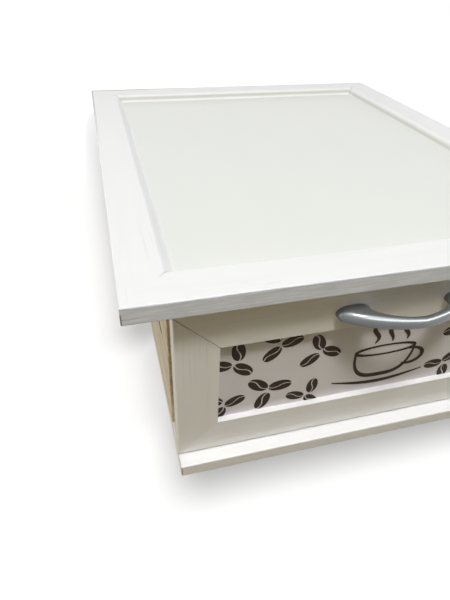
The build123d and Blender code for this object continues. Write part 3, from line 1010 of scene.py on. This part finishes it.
# %% [markdown]
# ## Floor, backdrop and light
#
# The photograph's ground is pure white, yet light that comes up from the table is warm and
# much weaker than white paper would give. Both are kept: rays that see the floor or mirror
# it find it white, and all other rays find it tan. The floor is still lit, so it keeps the
# real shadow, and a soft shade is added where the box shuts out the light of the room. That
# shade is the deeper of two fields: one under the case, which reaches forward past the
# base, and one under the wider lid, which starts further back. It gets weaker behind the
# box and fades slowly there, because the photograph's shade follows the box's left edge to
# its far corner. Away from the box the floor glows to full white, except in the shade.

# %% Floor
floor_bounce, floor_paper = (0.24, 0.19, 0.085), (0.22, 0.22, 0.22)
black, full_white = (0.0, 0.0, 0.0), (1.0, 1.0, 1.0)
near_glow, far_glow = 0.818, 0.2
glow_reach, glow_limit = (0.045, 0.20), (0.0, 0.04)
clear_rays = ("Is Camera Ray", "Is Glossy Ray", "Is Transmission Ray")
case_half_x, case_front_y = -base_low.x, base_low.y
front_depth, case_depth, lid_depth, rear_depth = 0.6, 0.3, 0.37, 0.2
case_side, case_front, case_rise = (0.095, 0.129), (-0.005, 0.028), (-0.135, -0.105)
lid_side, lid_start = (0.114, 0.156), (-0.068, -0.032)
rear_rise, rear_fade = (0.16, 0.30), (0.28, 0.58)


def soft_shade(finish):
    """The deeper of the case's field and the lid's, weaker behind the box, then fading out.

    Each field is 1 inside its own bounds and falls to 0 across a smooth step."""
    x, y, _ = finish.axes()
    case_field = (1 - x.size().step(*case_side)) * (1 - (case_front_y - y).step(*case_front))
    case_shade = case_field * (front_depth - (front_depth - case_depth) * y.step(*case_rise))
    lid_field = (1 - x.size().step(*lid_side)) * y.step(*lid_start)
    rear_limit = front_depth - (front_depth - rear_depth) * y.step(*rear_rise)
    return case_shade.most(lid_field * lid_depth).least(rear_limit) * (1 - y.step(*rear_fade))


def floor_finish():
    """White to the rays that see or mirror it, tan to the others, shaded round the base."""
    finish = Finish("floor")
    x, y, _ = finish.axes()
    shade = soft_shade(finish)
    away = (x.size() - case_half_x).most(y.size() + case_front_y).step(*glow_reach)
    glow = near_glow - shade + away * (1 - shade.step(*glow_limit)) * far_glow
    paper = finish.node("ShaderNodeBsdfDiffuse", {}, {"Color": opaque(floor_paper)})
    light = finish.node("ShaderNodeEmission", {},
                        {"Color": finish.mix(glow, black, full_white)})
    shown = finish.node("ShaderNodeAddShader", {}, {0: paper, 1: light})
    table = finish.node("ShaderNodeBsdfDiffuse", {}, {"Color": opaque(floor_bounce)})
    seen, mirrored, through = (finish.node("ShaderNodeLightPath", output=ray)
                               for ray in clear_rays)
    finish.output(finish.node("ShaderNodeMixShader", {},
                              {0: seen.most(mirrored).most(through), 1: table, 2: shown}))
    return finish.material


floor_half = 6.0
floor_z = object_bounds()[0][2]
floor_mesh = bpy.data.meshes.new("floor")
floor_mesh.from_pydata([(-floor_half, -floor_half, floor_z), (floor_half, -floor_half, floor_z),
                        (floor_half, floor_half, floor_z), (-floor_half, floor_half, floor_z)],
                       [], [(0, 1, 2, 3)])
floor_mesh.materials.append(floor_finish())
floor = bpy.data.objects.new("floor", floor_mesh)
bpy.context.scene.collection.objects.link(floor)
print("floor at z", round(floor_z / MM, 2), "mm")

# %% [markdown]
# ## World and lamps
#
# The world is white only to rays that see it or mirror it, and lights the object weakly.
# The key is one soft lamp high in front. The shade under the lid gave its height: the lid
# stands 7 mm out over the drawer front, and its shade starts to fade 14 mm down and ends
# 24 mm down, so the lamp spans about 63 to 73 degrees above the horizon. A wide lamp
# overhead and a warm one at the left fill the rest, and their strengths were solved from
# the levels of the top, the front and the side. Two weak lamps fill the back and the right,
# and the right one stands high enough to light the left moulding over the right rail. The
# last lamp is as wide as a window and is seen only in reflections: it draws the thin line
# of light along the handle.

# %% World and lamps
ambient_strength = 0.03
world = bpy.data.worlds.new("studio")
world.use_nodes = True
bpy.context.scene.world = world
sky = world.node_tree
background = sky.nodes["Background"]
background.inputs["Color"].default_value = (1, 1, 1, 1)
light_path = sky.nodes.new("ShaderNodeLightPath")
clear = light_path.outputs[clear_rays[0]]
for ray in clear_rays[1:]:
    either = sky.nodes.new("ShaderNodeMath")
    either.operation = "MAXIMUM"
    sky.links.new(clear, either.inputs[0])
    sky.links.new(light_path.outputs[ray], either.inputs[1])
    clear = either.outputs[0]
level = sky.nodes.new("ShaderNodeMapRange")
level.inputs["To Min"].default_value = ambient_strength
level.inputs["To Max"].default_value = 1.0
sky.links.new(clear, level.inputs["Value"])
sky.links.new(level.outputs[0], background.inputs["Strength"])


def way(azimuth, elevation):
    """A direction in degrees: azimuth from the front towards +X, elevation over the floor."""
    azimuth, elevation = math.radians(azimuth), math.radians(elevation)
    return Vector((math.sin(azimuth) * math.cos(elevation),
                   -math.cos(azimuth) * math.cos(elevation),
                   math.sin(elevation)))


def lamp(name, place, target, watts, shape, size, **settings):
    """An area lamp at a place, turned towards a target."""
    data = bpy.data.lights.new(name, "AREA")
    data.energy = watts
    data.shape = shape
    data.size = size
    for setting, value in settings.items():
        setattr(data, setting, value)
    light = bpy.data.objects.new(name, data)
    bpy.context.scene.collection.objects.link(light)
    direction = Vector(target) - Vector(place)
    turn = direction.to_track_quat("-Z", "Y").to_matrix().to_4x4()
    light.matrix_world = Matrix.Translation(Vector(place)) @ turn
    return light


key_azimuth, key_elevation, key_distance = -15.0, 68.0, 1.6
window_azimuth, window_elevation, window_distance = 34.0, 43.0, 1.2
key_target = Vector((0, -0.05, 0.08))
warm_light = (1.0, 0.96, 0.84)
key_watts, overhead_watts, side_watts = 16.3, 5.0, 4.8
back_watts, right_watts, window_watts = 3.2, 2.4, 28.0

lamp("key", key_target + way(key_azimuth, key_elevation) * key_distance, key_target,
     key_watts, "DISK", 0.30)
lamp("overhead", (-0.1, -0.35, 1.25), (0, 0, 0.1), overhead_watts, "SQUARE", 1.1)
lamp("side", (-1.3, -0.25, 0.45), (0, 0, 0.05), side_watts, "SQUARE", 0.8, color=warm_light)
lamp("back", (-0.35, 1.5, 0.10), (0, 0, 0.06), back_watts, "SQUARE", 0.3)
lamp("right", (1.4, 0.1, 0.35), (0, 0, 0.06), right_watts, "SQUARE", 0.3)
window = lamp("window", key_target + way(window_azimuth, window_elevation) * window_distance,
              key_target, window_watts, "RECTANGLE", 1.9, size_y=0.55)
window.visible_diffuse = False
